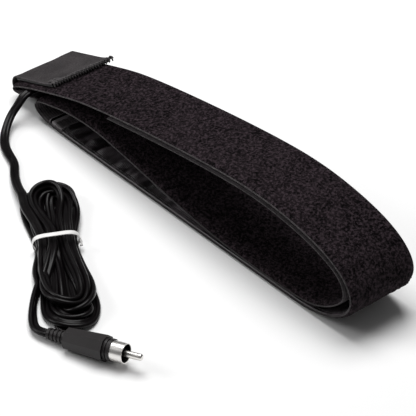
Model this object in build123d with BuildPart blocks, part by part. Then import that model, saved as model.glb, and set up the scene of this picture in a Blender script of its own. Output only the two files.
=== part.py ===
from build123d import *
import os
from math import cos, hypot, pi, radians, sin, sqrt, tan

# A wrap-around heating strap: a long band of loop-pile tape lined with a thin heater pocket, folded twice
# as it is put away, with a hook tab at one end and a tied flat twin lead that ends in a phono plug.
#
# Frame: millimetres. The origin is on the surface that the band lies on, under the middle of the folded
# band. +X runs along the band from the lead's end to the outer bend, +Y across its width, +Z is up.

# ---- Driving dimensions ----------------------------------------------------------------------------

# Loop-pile tape, the outer band
tape_width = 38.1
tape_thickness = 1.8
tape_middle = -1.2              # Y of the tape's centre line; the hook tab overhangs its rear edge
pocket_gap = 2.8                # clear height inside the end that is folded under
pocket_length = 18.5            # length of the ply that is folded under

# Nylon heater cover, sewn to the tape's inner face
cover_width = 36.6
cover_thickness = 1.3
cover_wall = 0.3
cavity_width = 25.0
cover_start = 20.5              # measured from the folded end
cover_end_x = -83.0
hem_length = 10.0               # strip that is sewn over the cover's far end
hem_thickness = 1.6
thread = 0.25                   # stitches stand this far out of the cloth
thread_width = 0.5
edge_inset = 1.6                # from the cover's edge to its row of stitches

# Heater: a carrier strip with one resistance wire, out and back
carrier_width = 23.0
carrier_thickness = 0.2
wire_size = 0.6
wire_spacing = 20.0
wire_turn = 6.4                 # where the wire turns back beside its splice, from the folded end
bare_end = 3.0                  # cover beyond the wire's far bridge

# Splices in the end pocket
splice_start = 7.0              # from the folded end to the crimps' outer faces
splice_length = 5.0
splice_offset = 7.0             # crimps stand this far each side of the tape's middle
crimp_radius = 1.0
crimp_bore_radius = 0.55
sleeve_radius = 1.3
core_radius = 0.5
fit_gap = 0.05                  # between parts that slide into each other

# Flat twin lead
lead_width = 4.8
lead_thickness = 2.4
lead_entry = 15.5               # from the folded end to the lead's middle
lead_held = 7.0                 # length of lead inside the pocket
tube_radius = 1.7               # round tube with the section of the flat lead

# Hook tab
tab_width = 37.0
tab_overhang = 2.4              # past the tape's rear edge
backing_thickness = 0.7
hook_thickness = 0.9
tab_gap = 0.3                   # hooks stand this far off the pile
tab_reach = 34.0                # free flap, measured from the hinge line
tab_anchor_length = 13.0        # ply that is sewn under the pocket
tooth_count = 22
tooth_width = 0.9
tooth_length = 1.2

# Tied hank
hank_height = 9.5
hank_lift = 0.8                 # the tie passes under the hank
upper_lobe_radius = 13.0
waist_radius = 10.0
lower_lobe_radius = 15.0
tie_width = 2.7
tie_thickness = 0.6
tie_clearance = 0.4
tie_tail_length = 4.6

# Phono plug
relief_length = 10.0
relief_rear_radius = 2.6
relief_front_radius = 3.3
rib_count = 5
grip_length = 20.0
grip_rear_width = 9.6           # across flats
grip_front_width = 11.6
grip_wall = 1.6
grip_sides = 8
collar_length = 3.3
collar_radius = 5.1
groove_depth = 0.45
shell_length = 6.4              # in front of the collar
shell_seat = 2.4                # inside the collar
shell_radius = 4.6
shell_wall = 0.45
insulator_length = 3.6
pin_radius = 1.5875
pin_tip_radius = 1.1
pin_reach = 8.3                 # in front of the shell's mouth
shank_radius = 1.2              # pin's narrower part, in the insulator
pin_tail = 1.0                  # behind the insulator
cup_length = 3.0
lug_length = 5.0
terminal_size = 0.8

# ---- Band route --------------------------------------------------------------------------------------

# Seam between the tape and its lining, seen from the front as (x, z) corners before they are rounded:
# the folded end, the top run, the outer bend, the run on the table, the left bend, the loose ply that
# climbs and lies back down, the inner bend and the end tucked under the top run.
TOP_RUN = [(-122.4, 9.6), (-81.0, 23.8), (-60.0, 29.5), (-15.0, 37.1), (30.0, 43.1), (62.0, 45.4)]
OUTER_BEND = [(90.0, 42.7), (112.0, 36.8), (124.3, 27.0), (124.0, 15.6), (112.6, 6.4), (99.5, 2.6)]
TABLE_RUN = [(86.0, tape_thickness), (-88.5, tape_thickness)]
LEFT_BEND = [(-98.5, 3.7), (-103.6, 6.8), (-101.6, 10.5), (-92.0, 13.0)]
LOOSE_PLY = [(-78.0, 16.2), (-58.0, 17.5), (-38.0, 15.1), (10.0, 7.0), (45.0, 3.6), (88.0, 3.5)]
INNER_BEND = [(103.5, 6.2), (116.4, 14.4), (121.6, 22.2), (117.4, 31.2), (104.0, 37.1), (88.0, 40.8)]
TUCKED_PLY = [(62.0, 43.5), (30.0, 41.2), (-15.0, 35.2), (-46.0, 30.1)]

fold_corner = Vector(*TOP_RUN[0])
run_direction = (Vector(*TOP_RUN[1]) - fold_corner).normalized()
run_normal = Vector(-run_direction.Y, run_direction.X)
under_corner = fold_corner - run_normal * pocket_gap
under_start = under_corner + run_direction * pocket_length
band_points = [(under_start.X, under_start.Y), (under_corner.X, under_corner.Y)]
band_points += TOP_RUN + OUTER_BEND + TABLE_RUN + LEFT_BEND + LOOSE_PLY + INNER_BEND + TUCKED_PLY
FOLD_SHARE = 0.49               # the two corners of the folded end share its height
BEND_SHARE = 0.45


def corner_radii(points, share=BEND_SHARE):
    """Radius for each inner corner: share of the shorter run over the tangent of half the turn."""
    radii = []
    for before, corner, after in zip(points, points[1:], points[2:]):
        run_in = Vector(*corner) - Vector(*before)
        run_out = Vector(*after) - Vector(*corner)
        half_turn = radians(run_in.get_angle(run_out) / 2)
        radii.append(share * min(run_in.length, run_out.length) / tan(half_turn))
    return radii


def shifted(points, radii, distance):
    """Points and radii of the parallel route that lies distance to the left of the one given."""
    spots = [Vector(*p) for p in points]
    normals = []
    for a, b in zip(spots, spots[1:]):
        along = (b - a).normalized()
        normals.append(Vector(-along.Y, along.X))
    moved = [spots[0] + normals[0] * distance]
    new_radii = []
    for spot, before, after, radius in zip(spots[1:-1], normals, normals[1:], radii):
        moved.append(spot + (before + after) * (distance / (1 + before.dot(after))))
        left_turn = before.cross(after).Z > 0
        new_radii.append(radius - distance if left_turn else radius + distance)
    moved.append(spots[-1] + normals[-1] * distance)
    return [(p.X, p.Y) for p in moved], new_radii


def strip_face(points, radii, near, far):
    """Closed outline between two parallels of a route; call it inside a BuildLine."""
    near_points, near_radii = shifted(points, radii, near)
    far_points, far_radii = shifted(points, radii, far)
    if near_radii:
        FilletPolyline(*near_points, radius=near_radii)
        FilletPolyline(*far_points, radius=far_radii)
    else:
        Line(near_points[0], near_points[1])
        Line(far_points[0], far_points[1])
    Line(near_points[0], far_points[0])
    Line(near_points[-1], far_points[-1])


def front_plane(y):
    """Plane that faces the front, at the given Y; its own axes are X and Z."""
    return Plane.XZ.offset(-y)


def strip(points, radii, near, far, low_y, high_y, mode=Mode.ADD):
    """Strip of cloth or wire between two parallels of a route, from low_y to high_y; needs a BuildPart."""
    with BuildSketch(front_plane(high_y)) as outline:
        with BuildLine():
            strip_face(points, radii, near, far)
        make_face()
    extrude(outline.sketch, amount=high_y - low_y, mode=mode)


def on_top_run(s, n):
    """Point (x, z) at s along the first straight of the top run and n above the seam."""
    spot = fold_corner + run_direction * s + run_normal * n
    return (spot.X, spot.Y)


band_radii = corner_radii(band_points)
band_radii[0] = band_radii[1] = FOLD_SHARE * pocket_gap
tape_front = tape_middle - tape_width / 2
tape_rear = tape_middle + tape_width / 2

with BuildPart() as loop_tape:
    strip(band_points, band_radii, 0, tape_thickness, tape_front, tape_rear)
loop_tape.part.label = "loop_tape"

# ---- Heater cover and what it holds ------------------------------------------------------------------

# The cover follows the seam from the top run, round the outer bend, to the far end on the table run.
CORNERS_COVERED = len(TOP_RUN[1:] + OUTER_BEND) + 1
covered_corners = (TOP_RUN[1:] + OUTER_BEND + TABLE_RUN[:1])
covered_radii = band_radii[2:2 + CORNERS_COVERED]


def lined_route(start, end_x):
    """Seam route from start, measured from the folded end, to end_x on the table run."""
    return [on_top_run(start, 0)] + covered_corners + [(end_x, tape_thickness)]


cavity_depth = cover_thickness - cover_wall
cover_route = lined_route(cover_start, cover_end_x)
cavity_route = lined_route(cover_start, cover_end_x + bare_end)
with BuildPart() as heater_cover:
    strip(cover_route, covered_radii, -cover_thickness, 0,
          tape_middle - cover_width / 2, tape_middle + cover_width / 2)
    strip(cavity_route, covered_radii, -cavity_depth, 0,
          tape_middle - cavity_width / 2, tape_middle + cavity_width / 2, mode=Mode.SUBTRACT)
heater_cover.part.label = "heater_cover"

with BuildPart() as carrier_strip:
    strip(lined_route(cover_start, cover_end_x + 2 * bare_end), covered_radii, -carrier_thickness, 0,
          tape_middle - carrier_width / 2, tape_middle + carrier_width / 2)
carrier_strip.part.label = "carrier_strip"

wire_bottom = -carrier_thickness - wire_size
wire_end_x = cover_end_x + 3 * bare_end
wire_half = wire_spacing / 2
with BuildPart() as heater_wire:
    for side in (-1, 1):
        middle = tape_middle + side * wire_half
        strip(lined_route(wire_turn, wire_end_x), covered_radii, wire_bottom, -carrier_thickness,
              middle - wire_size / 2, middle + wire_size / 2)
        inner = tape_middle + side * splice_offset
        strip([on_top_run(wire_turn, 0), on_top_run(splice_start, 0)], [], wire_bottom, -carrier_thickness,
              min(inner, middle), max(inner, middle))
    strip([(wire_end_x + wire_size, tape_thickness), (wire_end_x, tape_thickness)], [],
          wire_bottom, -carrier_thickness, tape_middle - wire_half, tape_middle + wire_half)
heater_wire.part.label = "heater_wire"

# ---- Splices in the end pocket -----------------------------------------------------------------------

# Everything in the pocket lies at half its height. Crimps point along the run, at each side of the middle.
pocket_middle = -pocket_gap / 2


def in_pocket(s, y):
    """World point at s from the folded end, y across the tape, half way up the pocket."""
    x, z = on_top_run(s, pocket_middle)
    return Vector(x, y, z)


run_axis = Vector(run_direction.X, 0, run_direction.Y)
splice_planes = [Plane(origin=in_pocket(splice_start, tape_middle + side * splice_offset), z_dir=run_axis)
                 for side in (-1, 1)]

with BuildPart() as splice_crimps:
    for plane in splice_planes:
        with BuildSketch(plane):
            Circle(crimp_radius)
            Circle(crimp_bore_radius, mode=Mode.SUBTRACT)
        extrude(amount=splice_length)
splice_crimps.part.label = "splice_crimps"

with BuildPart() as splice_sleeves:
    for plane in splice_planes:
        with BuildSketch(plane.offset(fit_gap)):
            Circle(sleeve_radius)
            Circle(crimp_radius + fit_gap, mode=Mode.SUBTRACT)
        extrude(amount=splice_length - 2 * fit_gap)
splice_sleeves.part.label = "splice_sleeves"

# The lead's held end lies flat and enters at the tape's front edge.
lobe_radius = lead_thickness / 2
lobe_offset = (lead_width - lead_thickness) / 2
lead_plane = Plane(origin=in_pocket(lead_entry, tape_front), x_dir=run_axis, z_dir=(0, -1, 0))
with BuildPart() as lead_end:
    with BuildSketch(lead_plane):
        SlotCenterToCenter(2 * lobe_offset, lead_thickness)
    extrude(amount=-lead_held)
    with BuildSketch(lead_plane):
        with Locations((-lobe_offset, 0), (lobe_offset, 0)):
            Circle(core_radius)
    extrude(amount=-lead_held, mode=Mode.SUBTRACT)
lead_end.part.label = "lead_end"

core_start_y = tape_front
core_bend_radius = 1.2
with BuildPart() as lead_cores:
    for side, lobe in ((-1, -lobe_offset), (1, lobe_offset)):
        turn_y = tape_middle + side * splice_offset
        start = in_pocket(lead_entry + lobe, core_start_y)
        end = in_pocket(splice_start + splice_length / 2, turn_y)
        with BuildLine() as core_route:
            FilletPolyline(start, in_pocket(lead_entry + lobe, turn_y), end, radius=core_bend_radius)
        with BuildSketch(Plane(origin=start, z_dir=(0, 1, 0))):
            Circle(core_radius - fit_gap / 2)
        sweep(path=core_route.line)
lead_cores.part.label = "lead_cores"

# ---- Sewing --------------------------------------------------------------------------------------------

edge_row = cover_width / 2 - edge_inset
with BuildPart() as edge_stitching:
    for side in (-1, 1):
        row = tape_middle + side * edge_row
        strip(cover_route, covered_radii, -cover_thickness - thread, -cover_thickness,
              row - thread_width / 2, row + thread_width / 2)
edge_stitching.part.label = "edge_stitching"

hem_route = [(cover_end_x + hem_length, tape_thickness), TABLE_RUN[1], LEFT_BEND[0]]
hem_radii = [band_radii[len(band_points) - 2 - len(LEFT_BEND + LOOSE_PLY + INNER_BEND + TUCKED_PLY)]]
with BuildPart() as cover_hem:
    strip(hem_route, hem_radii, -hem_thickness, 0,
          tape_middle - cover_width / 2, tape_middle + cover_width / 2)
    with BuildSketch(Plane.XY.offset(-1)):
        with Locations((cover_end_x - hem_length / 2, tape_middle)):
            Rectangle(hem_length, cover_width)
    extrude(amount=hem_thickness + 10, mode=Mode.INTERSECT)
cover_hem.part.label = "cover_hem"

hem_rows = 4
hem_row_pitch = 1.5
stitch_length = 2.4
stitch_pitch = 3.2
stitches_across = int((cover_width - 4) / stitch_pitch)
with BuildPart() as hem_stitching:
    strip(hem_route, hem_radii, -hem_thickness - thread, -hem_thickness,
          tape_middle - cover_width / 2, tape_middle + cover_width / 2)
    with BuildSketch(Plane.XY.offset(-1)):
        with Locations((cover_end_x - 1 - hem_rows * hem_row_pitch / 2, tape_middle)):
            with GridLocations(hem_row_pitch, stitch_pitch, hem_rows, stitches_across):
                Rectangle(thread_width, stitch_length)
    extrude(amount=hem_thickness + 10, mode=Mode.INTERSECT)
hem_stitching.part.label = "hem_stitching"

# ---- Hook tab ------------------------------------------------------------------------------------------

# The tab is sewn under the pocket, goes round the folded end and lies on the pile. It peels open about
# the middle of that fold.
tab_thickness = backing_thickness + hook_thickness
flap_low = tape_thickness + tab_gap
flap_high = flap_low + tab_thickness
anchor_high = -pocket_gap - tape_thickness
anchor_low = anchor_high - tab_thickness
hinge_n = (flap_high + anchor_low) / 2
fold_radius = (flap_high - anchor_low) / 2
hinge_s = FOLD_SHARE * pocket_gap - tab_gap / 2
hinge_x, hinge_z = on_top_run(hinge_s, hinge_n)
tab_rear = tape_rear + tab_overhang
tab_front = tab_rear - tab_width
tab_middle = (tab_front + tab_rear) / 2

anchor_route = [on_top_run(hinge_s, 0), on_top_run(hinge_s + tab_anchor_length, 0)]
with BuildPart() as tab_anchor:
    strip(anchor_route, [], anchor_low, anchor_high, tab_front, tab_rear)
tab_anchor.part.label = "tab_anchor"

fold_plane = Plane(origin=(hinge_x, tab_rear, hinge_z), x_dir=run_axis, z_dir=(0, -1, 0))
with BuildPart() as tab_fold:
    with BuildSketch(fold_plane):
        Circle(fold_radius)
        Circle(fold_radius - tab_thickness, mode=Mode.SUBTRACT)
        with Locations((fold_radius, 0)):
            Rectangle(2 * fold_radius, 2 * fold_radius, mode=Mode.SUBTRACT)
    extrude(amount=tab_width)
tab_fold.part.label = "tab_fold"

flap_route = [on_top_run(hinge_s, 0), on_top_run(hinge_s + tab_reach, 0)]
with BuildPart() as tab_hooks:
    strip(flap_route, [], flap_low, flap_low + hook_thickness, tab_front, tab_rear)
tab_hooks.part.label = "tab_hooks"

with BuildPart() as tab_backing:
    strip(flap_route, [], flap_low + hook_thickness, flap_high, tab_front, tab_rear)
tab_backing.part.label = "tab_backing"

flap_end = hinge_s + tab_reach
tooth_pitch = (tab_width - tooth_width) / (tooth_count - 1)
edging_plane = Plane(origin=in_pocket(flap_end, tab_middle), x_dir=(0, 1, 0), z_dir=run_axis)
edging_low = flap_low - pocket_middle
with BuildPart() as tab_edging:
    with BuildSketch(edging_plane):
        with Locations((0, edging_low + tab_thickness / 2)):
            with GridLocations(tooth_pitch, 0, tooth_count, 1):
                Rectangle(tooth_width, tab_thickness)
    extrude(amount=tooth_length)
tab_edging.part.label = "tab_edging"

tack_rows = 6
tack_length = 4.0
tack_plane = Plane(origin=in_pocket(flap_end - 2.2, tab_front + 4.0), x_dir=run_axis,
                   z_dir=(-run_direction.Y, 0, run_direction.X))
with BuildPart() as corner_tack:
    with BuildSketch(tack_plane.offset(flap_high - pocket_middle)):
        with GridLocations(0, 1.0, 1, tack_rows):
            Rectangle(tack_length, thread_width)
    extrude(amount=thread)
corner_tack.part.label = "corner_tack"

tack_under_pitch = 3.2
with BuildPart() as pocket_stitching:
    under_plane = Plane(origin=in_pocket(hinge_s + tab_anchor_length - 2.5, tab_middle), x_dir=run_axis,
                        z_dir=(run_direction.Y, 0, -run_direction.X))
    with BuildSketch(under_plane.offset(pocket_middle - anchor_low)):
        with GridLocations(2.5, tack_under_pitch, 2, int((tab_width - 4) / tack_under_pitch)):
            Rectangle(thread_width, stitch_length)
    extrude(amount=thread)
pocket_stitching.part.label = "pocket_stitching"

# ---- Free lead -----------------------------------------------------------------------------------------

# Hand-chosen points from the band's end down to the surface and into the hank, then from the hank round
# to the plug. Millimetres.
lead_exit = in_pocket(lead_entry, tape_front)
LEAD_POINTS = [
    (lead_exit.X, lead_exit.Y, lead_exit.Z),
    (lead_exit.X, -23.4, lead_exit.Z),
    (-106.4, -27.4, 10.4),
    (-105.6, -33.9, 5.6),
    (-99.6, -41.8, 2.3),
    (-92.2, -47.5, 1.75),
    (-83.6, -50.7, 1.75),
    (-77.0, -52.6, 1.75),
    (-66.5, -61.2, 1.75),
    (-57.0, -65.4, 1.85),
    (-48.5, -68.6, 3.0),
]
TAIL_POINTS = [
    (5.8, -99.1, 2.2),
    (10.9, -105.4, 1.75),
    (16.5, -111.0, 1.75),
    (22.7, -116.6, 1.75),
    (28.3, -120.9, 2.05),
    (33.41, -122.85, 3.27),
    (38.5, -120.83, 3.81),
]


def lead_tube(points):
    """Round tube along the rounded route; needs a BuildPart."""
    radii = corner_radii(points)
    with BuildLine() as route:
        FilletPolyline(*points, radius=radii)
    with BuildSketch(Plane(origin=route.line @ 0, z_dir=route.line % 0)) as section:
        Circle(tube_radius)
    sweep(section.sketch, path=route.line)
    return route.wire().length, radii


with BuildPart() as cord_lead:
    lead_length, lead_radii = lead_tube(LEAD_POINTS)
cord_lead.part.label = "cord_lead"

# ---- Hank and its tie -----------------------------------------------------------------------------------

# The hank lies on the surface, long axis towards the plug: a smaller lobe, the tied waist, a larger lobe.
hank_origin = Vector(-50.0, -52.0, 0)
hank_axis = Vector(97.0, -61.0, 0).normalized()
hank_plane = Plane(origin=hank_origin, x_dir=hank_axis, z_dir=(0, 0, 1))
upper_lobe = (14.0, -2.5)
waist = (45.0, -1.5)
lower_lobe = (93.0, 0.5)

with BuildPart() as cord_hank:
    with BuildSketch(hank_plane.offset(hank_lift)) as upper_half:
        with Locations(upper_lobe):
            Circle(upper_lobe_radius)
        with Locations(waist):
            Circle(waist_radius)
        make_hull()
    extrude(amount=hank_height)
    with BuildSketch(hank_plane.offset(hank_lift)) as lower_half:
        with Locations(lower_lobe):
            Circle(lower_lobe_radius)
        with Locations(waist):
            Circle(waist_radius)
        make_hull()
    extrude(amount=hank_height)
cord_hank.part.label = "cord_hank"

tie_origin = hank_origin + hank_axis * waist[0] + Vector(0, 0, 1).cross(hank_axis) * waist[1]
ring_inner_width = 2 * waist_radius + 2 * tie_clearance
ring_inner_height = hank_height + 2 * fit_gap
ring_middle = hank_lift + hank_height / 2
tie_plane = Plane(origin=tie_origin + Vector(0, 0, ring_middle), x_dir=Vector(0, 0, 1).cross(hank_axis),
                  z_dir=hank_axis)
with BuildPart() as lead_tie:
    with BuildSketch(tie_plane.offset(-tie_width / 2)):
        Rectangle(ring_inner_width + 2 * tie_thickness, ring_inner_height + 2 * tie_thickness)
        Rectangle(ring_inner_width, ring_inner_height, mode=Mode.SUBTRACT)
    extrude(amount=tie_width)
    with BuildSketch(tie_plane.offset(-tie_width / 2)):
        with Locations((ring_inner_width / 2 + 2 * tie_thickness, 0)):
            Rectangle(2 * tie_thickness, tie_width)
    extrude(amount=tie_width + tie_tail_length)
lead_tie.part.label = "lead_tie"

with BuildPart() as cord_tail:
    tail_length, tail_radii = lead_tube(TAIL_POINTS)
cord_tail.part.label = "cord_tail"

# ---- Phono plug -----------------------------------------------------------------------------------------

# The plug rests on the rear rim of its grip, and the lead's set holds its nose slightly up.
plug_turn = radians(21.6)
plug_tilt = radians(5.6)
plug_axis = Vector(cos(plug_tilt) * cos(plug_turn), cos(plug_tilt) * sin(plug_turn), sin(plug_tilt))
plug_rear = Vector(*TAIL_POINTS[-1])
plug_side = Vector(-sin(plug_turn), cos(plug_turn), 0)


def plug_plane(distance):
    """Plane across the plug at the given distance in front of the strain relief's rear end."""
    return Plane(origin=plug_rear + plug_axis * distance, x_dir=plug_side, z_dir=plug_axis)


grip_start = relief_length
collar_start = grip_start + grip_length
shell_start = collar_start + collar_length
shell_mouth = shell_start + shell_length
shell_rear = shell_start - shell_seat
rib_pitch = relief_length / rib_count
rib_depth = 0.5

with BuildPart() as plug_relief:
    with BuildSketch(plug_plane(0)):
        Circle(relief_rear_radius)
    with BuildSketch(plug_plane(relief_length)):
        Circle(relief_front_radius)
    loft()
    for rib in range(rib_count - 1):
        radius_here = relief_rear_radius + (relief_front_radius - relief_rear_radius) * (rib + 1) / rib_count
        with BuildSketch(plug_plane((rib + 0.75) * rib_pitch)):
            Circle(radius_here + 1)
            Circle(radius_here - rib_depth, mode=Mode.SUBTRACT)
        extrude(amount=rib_pitch / 2, mode=Mode.SUBTRACT)
    with BuildSketch(plug_plane(0)):
        SlotCenterToCenter(2 * lobe_offset, 2 * (core_radius + fit_gap))
    extrude(amount=relief_length, mode=Mode.SUBTRACT)
plug_relief.part.label = "plug_relief"

chamber_radius = 3.0
lug_offset = chamber_radius - terminal_size / 2 - 2 * fit_gap
with BuildPart() as plug_grip:
    with BuildSketch(plug_plane(grip_start)):
        RegularPolygon(grip_rear_width / 2, grip_sides, major_radius=False, rotation=180 / grip_sides)
    with BuildSketch(plug_plane(collar_start)):
        RegularPolygon(grip_front_width / 2, grip_sides, major_radius=False, rotation=180 / grip_sides)
    loft()
    with BuildSketch(plug_plane(grip_start)):
        Circle(chamber_radius)
    extrude(amount=grip_length, mode=Mode.SUBTRACT)
plug_grip.part.label = "plug_grip"

with BuildPart() as plug_collar:
    with BuildSketch(plug_plane(collar_start)):
        Circle(collar_radius)
    extrude(amount=collar_length)
    with BuildSketch(plug_plane(collar_start + collar_length * 0.4)):
        Circle(collar_radius + 1)
        Circle(collar_radius - groove_depth, mode=Mode.SUBTRACT)
    extrude(amount=collar_length * 0.2, mode=Mode.SUBTRACT)
    with BuildSketch(plug_plane(shell_rear)):
        Circle(shell_radius)
    extrude(amount=shell_seat, mode=Mode.SUBTRACT)
    with BuildSketch(plug_plane(collar_start)):
        Circle(chamber_radius)
    extrude(amount=collar_length, mode=Mode.SUBTRACT)
plug_collar.part.label = "plug_collar"

with BuildPart() as plug_shell:
    with BuildSketch(plug_plane(shell_rear)):
        Circle(shell_radius)
        Circle(shell_radius - shell_wall, mode=Mode.SUBTRACT)
    extrude(amount=shell_seat + shell_length)
plug_shell.part.label = "plug_shell"

with BuildPart() as plug_insulator:
    with BuildSketch(plug_plane(shell_rear)):
        Circle(shell_radius - shell_wall)
        Circle(shank_radius, mode=Mode.SUBTRACT)
    extrude(amount=insulator_length)
plug_insulator.part.label = "plug_insulator"

pin_start = shell_rear - pin_tail
pin_shoulder = shell_rear + insulator_length
pin_end = shell_mouth + pin_reach
with BuildPart() as plug_pin:
    with BuildSketch(plug_plane(pin_shoulder)):
        Circle(pin_radius)
    extrude(amount=pin_end - pin_shoulder)
    fillet(plug_pin.edges().sort_by(Axis(plug_rear, plug_axis))[-1], radius=pin_tip_radius)
    with BuildSketch(plug_plane(pin_start)):
        Circle(shank_radius)
    extrude(amount=pin_shoulder - pin_start)
plug_pin.part.label = "plug_pin"

with BuildPart() as plug_terminals:
    with BuildSketch(plug_plane(pin_start - cup_length)):
        Circle(pin_radius)
        Circle(core_radius + fit_gap, mode=Mode.SUBTRACT)
    extrude(amount=cup_length)
    with BuildSketch(plug_plane(shell_rear - lug_length)):
        with Locations((lug_offset, 0)):
            Rectangle(terminal_size, 2 * terminal_size)
    extrude(amount=lug_length)
plug_terminals.part.label = "plug_terminals"

core_reaches = [(-lobe_offset, 0, pin_start - fit_gap), (lobe_offset, lug_offset - 0.2, shell_rear - lug_length)]
with BuildPart() as plug_cores:
    for start_offset, end_offset, reach in core_reaches:
        route_points = [(0, start_offset), (grip_start + 2, start_offset),
                        (grip_start + 7, end_offset), (reach, end_offset)]
        spots = [plug_plane(distance).origin + plug_side * offset for distance, offset in route_points]
        with BuildLine() as core_route:
            FilletPolyline(*spots, radius=5.0)
        with BuildSketch(Plane(origin=spots[0], z_dir=plug_axis)):
            Circle(core_radius)
        sweep(path=core_route.line)
plug_cores.part.label = "plug_cores"

# ---- Export ----------------------------------------------------------------------------------------------

os.makedirs("parts", exist_ok=True)
pieces = [
    loop_tape, heater_cover, carrier_strip, heater_wire, splice_crimps, splice_sleeves, lead_end, lead_cores,
    edge_stitching, cover_hem, hem_stitching, pocket_stitching, tab_anchor, tab_fold, tab_hooks, tab_backing,
    tab_edging, corner_tack, cord_lead, cord_hank, cord_tail, lead_tie, plug_relief, plug_grip, plug_collar,
    plug_shell, plug_insulator, plug_pin, plug_terminals, plug_cores,
]
for piece in pieces:
    export_step(piece.part, f"parts/{piece.part.label}.step")

band_box = Compound(children=[p.part for p in pieces[:18]]).bounding_box()
print("band box", band_box)
pin_middle = plug_plane((pin_shoulder + pin_end - pin_tip_radius) / 2).origin
print("hinge", hinge_x, hinge_z, "run axis", run_axis)
print("pin middle", pin_middle, plug_axis, "free length", pin_end - pin_tip_radius - pin_shoulder)
for name, piece, length, radii in (("lead", cord_lead, lead_length, lead_radii),
                                   ("tail", cord_tail, tail_length, tail_radii)):
    expected = pi * tube_radius ** 2 * length
    print(name, "length", round(length, 1), "volume share", round(piece.part.volume / expected, 4),
          "radii", [round(r, 1) for r in radii])
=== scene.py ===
import math
import bmesh
import bpy
import numpy as np
from mathutils import Matrix, Vector


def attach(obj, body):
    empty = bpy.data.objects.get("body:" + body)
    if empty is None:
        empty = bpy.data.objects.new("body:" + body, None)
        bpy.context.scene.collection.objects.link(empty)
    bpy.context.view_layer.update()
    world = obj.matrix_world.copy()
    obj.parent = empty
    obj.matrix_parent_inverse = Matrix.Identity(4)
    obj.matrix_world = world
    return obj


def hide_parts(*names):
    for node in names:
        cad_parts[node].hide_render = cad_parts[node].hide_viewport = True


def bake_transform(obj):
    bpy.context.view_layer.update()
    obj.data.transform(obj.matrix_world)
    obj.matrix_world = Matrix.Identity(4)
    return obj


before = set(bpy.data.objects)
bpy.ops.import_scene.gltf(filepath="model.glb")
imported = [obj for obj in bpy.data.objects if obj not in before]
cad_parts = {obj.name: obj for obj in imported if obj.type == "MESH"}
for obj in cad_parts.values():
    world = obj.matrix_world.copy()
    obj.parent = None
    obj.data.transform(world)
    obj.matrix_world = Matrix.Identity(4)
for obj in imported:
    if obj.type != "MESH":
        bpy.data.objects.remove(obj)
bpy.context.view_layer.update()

# ---- Camera, table and light ---------------------------------------------------------------------------
# A long lens looks down at the strap from its right front corner. The table is a pale sheet, lit by one
# large soft light overhead, a second one low on the left, and a white room.

scene = bpy.context.scene
camera = bpy.data.objects.new("camera", bpy.data.cameras.new("camera"))
scene.collection.objects.link(camera)
camera.location = (0.8222, -0.6888, 0.7815)
camera.rotation_mode = "QUATERNION"
camera.rotation_quaternion = Vector((-0.61646, 0.51913, -0.59201)).to_track_quat("-Z", "Y")
camera.data.lens = 243.2  # millimetres
camera.data.clip_end = 20
scene.camera = camera
scene.view_settings.view_transform = "Standard"


class Wire:
    """A shader socket that adds, subtracts and multiplies like a number."""

    def __init__(self, tree, socket):
        self.tree = tree
        self.socket = socket

    def node(self, kind, settings=None, inputs=None, output=0):
        """Adds a node: its settings first, then the values or links of its sockets."""
        made = self.tree.nodes.new(kind)
        for key, value in (settings or {}).items():
            setattr(made, key, value)
        for key, value in (inputs or {}).items():
            if isinstance(value, Wire):
                self.tree.links.new(value.socket, made.inputs[key])
            else:
                made.inputs[key].default_value = value
        return Wire(self.tree, made.outputs[output])

    def math(self, operation, first, second=0.0):
        return self.node("ShaderNodeMath", {"operation": operation}, {0: first, 1: second})

    def __add__(self, other):
        return self.math("ADD", self, other)

    __radd__ = __add__

    def __sub__(self, other):
        return self.math("SUBTRACT", self, other)

    def __rsub__(self, other):
        return self.math("SUBTRACT", other, self)

    def __mul__(self, other):
        return self.math("MULTIPLY", self, other)

    __rmul__ = __mul__

    def noise(self, size, detail=3.0, roughness=0.55):
        """Soft noise whose lumps are about size metres across."""
        return self.node("ShaderNodeTexNoise", None,
                         {"Vector": self, "Scale": 1 / size, "Detail": detail, "Roughness": roughness})

    def bands(self, direction, size, distortion, detail=2.0):
        """Soft parallel bands of the given size in metres, one after the other along X or Y."""
        return self.node("ShaderNodeTexWave", {"wave_type": "BANDS", "bands_direction": direction},
                         {"Vector": self, "Scale": 1 / size, "Distortion": distortion, "Detail": detail})

    def spread(self, low, high, to_low=0.0, to_high=1.0):
        """Stretches low..high to to_low..to_high and clips it there."""
        return self.node("ShaderNodeMapRange", None,
                         {"Value": self, "From Min": low, "From Max": high, "To Min": to_low, "To Max": to_high})

    def blend(self, first, second):
        """Colour that goes from first to second as this goes from 0 to 1."""
        return self.node("ShaderNodeMix", {"data_type": "RGBA"}, {0: self, 6: first, 7: second}, output=2)

    def bump(self, distance, strength=1.0):
        return self.node("ShaderNodeBump", None, {"Height": self, "Distance": distance, "Strength": strength})

    def feed(self, shader, socket):
        self.tree.links.new(self.socket, shader.inputs[socket])


def new_finish(name, constants):
    """A material with its shader's constants set. Returns it, the shader and the object's coordinates."""
    material = bpy.data.materials.new(name)
    material.use_nodes = True
    shader = material.node_tree.nodes["Principled BSDF"]
    for key, value in constants.items():
        shader.inputs[key].default_value = value
    places = material.node_tree.nodes.new("ShaderNodeTexCoord")
    return material, shader, Wire(material.node_tree, places.outputs["Object"])


bpy.ops.object.select_all(action="DESELECT")
bpy.ops.mesh.primitive_plane_add(size=12, location=(0, 0, 0))
table = bpy.context.object
table.name = "table"
table_finish, shader, spot = new_finish("pale_table", {"Roughness": 0.9, "Specular IOR Level": 0.2})
spot.noise(0.4, 2.0).spread(0.3, 0.7).blend((0.86, 0.86, 0.86, 1), (0.88, 0.88, 0.88, 1)).feed(shader, "Base Color")
table.data.materials.append(table_finish)

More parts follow.
